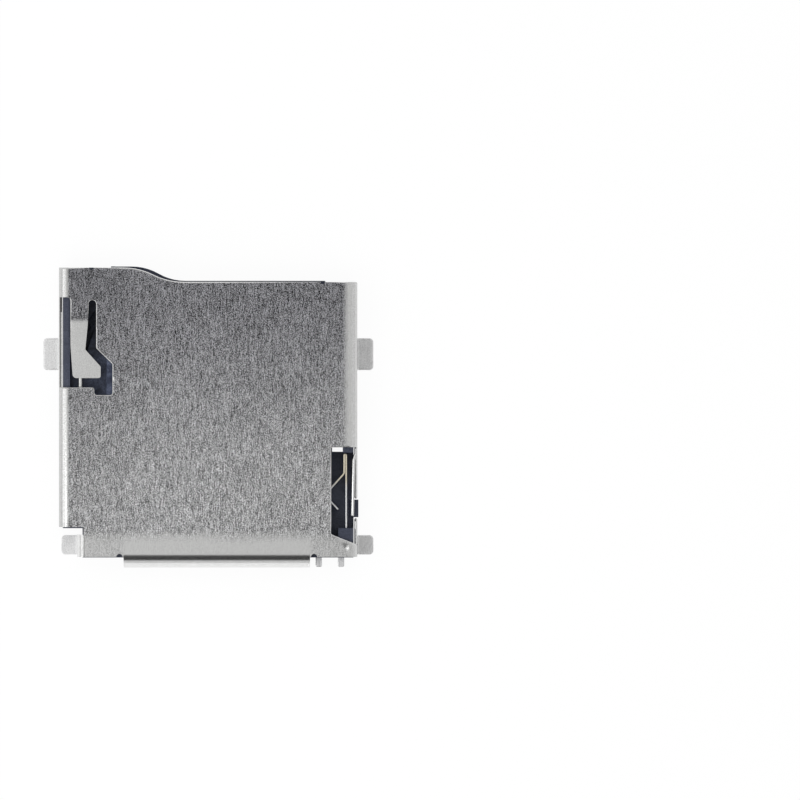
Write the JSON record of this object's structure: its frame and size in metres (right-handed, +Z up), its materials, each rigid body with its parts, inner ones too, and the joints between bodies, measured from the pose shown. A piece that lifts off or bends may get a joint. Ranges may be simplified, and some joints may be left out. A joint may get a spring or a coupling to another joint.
{
  "type": "memory card socket",
  "caption": "Low surface-mount memory card socket: a folded metal cover on a moulded base, sprung contacts, and a sprung slider that locks and ejects the card.",
  "frame": {"origin": "on the board plane, under the middle of the overall outline", "axes": "+Z up from the board, +Y out of the card mouth, +X away from the slider"},
  "size_m": [0.0164, 0.0148, 0.0019],
  "materials": {
    "cover_steel": "fine brushed",
    "base_moulding": "matte",
    "slider_moulding": "matte",
    "contact_plating": "gold at the tips, tin at the tails",
    "wire_steel": "drawn wire"
  },
  "bodies": {
    "housing": {"cover_shell": "cover_steel", "base_housing": "base_moulding", "contact_1": "contact_plating", "contact_2": "contact_plating", "contact_3": "contact_plating", "contact_4": "contact_plating", "contact_5": "contact_plating", "contact_6": "contact_plating", "contact_7": "contact_plating", "contact_8": "contact_plating", "detect_contact": "contact_plating", "eject_spring": "wire_steel"},
    "slider": {"slider": "slider_moulding"},
    "rod": {"cam_rod": "wire_steel"}
  },
  "joints": [
    {"name": "slider_travel", "type": "slide", "parent": "housing", "child": "slider", "axis": [0, -1, 0], "range_m": [0, 0.0022], "stiffness_N_per_m": 250, "springref_m": -0.003, "deforming": ["eject_spring"]},
    {"name": "rod_swing", "type": "hinge", "parent": "housing", "child": "rod", "pos_m": [-0.00632, -0.00344, 0], "axis": [0, 0, -1], "range_deg": [0, 7.2]}
  ],
  "couplings": [
    {"joint": "rod_swing", "follows": "slider_travel", "rad_per_m": 56.4}
  ]
}
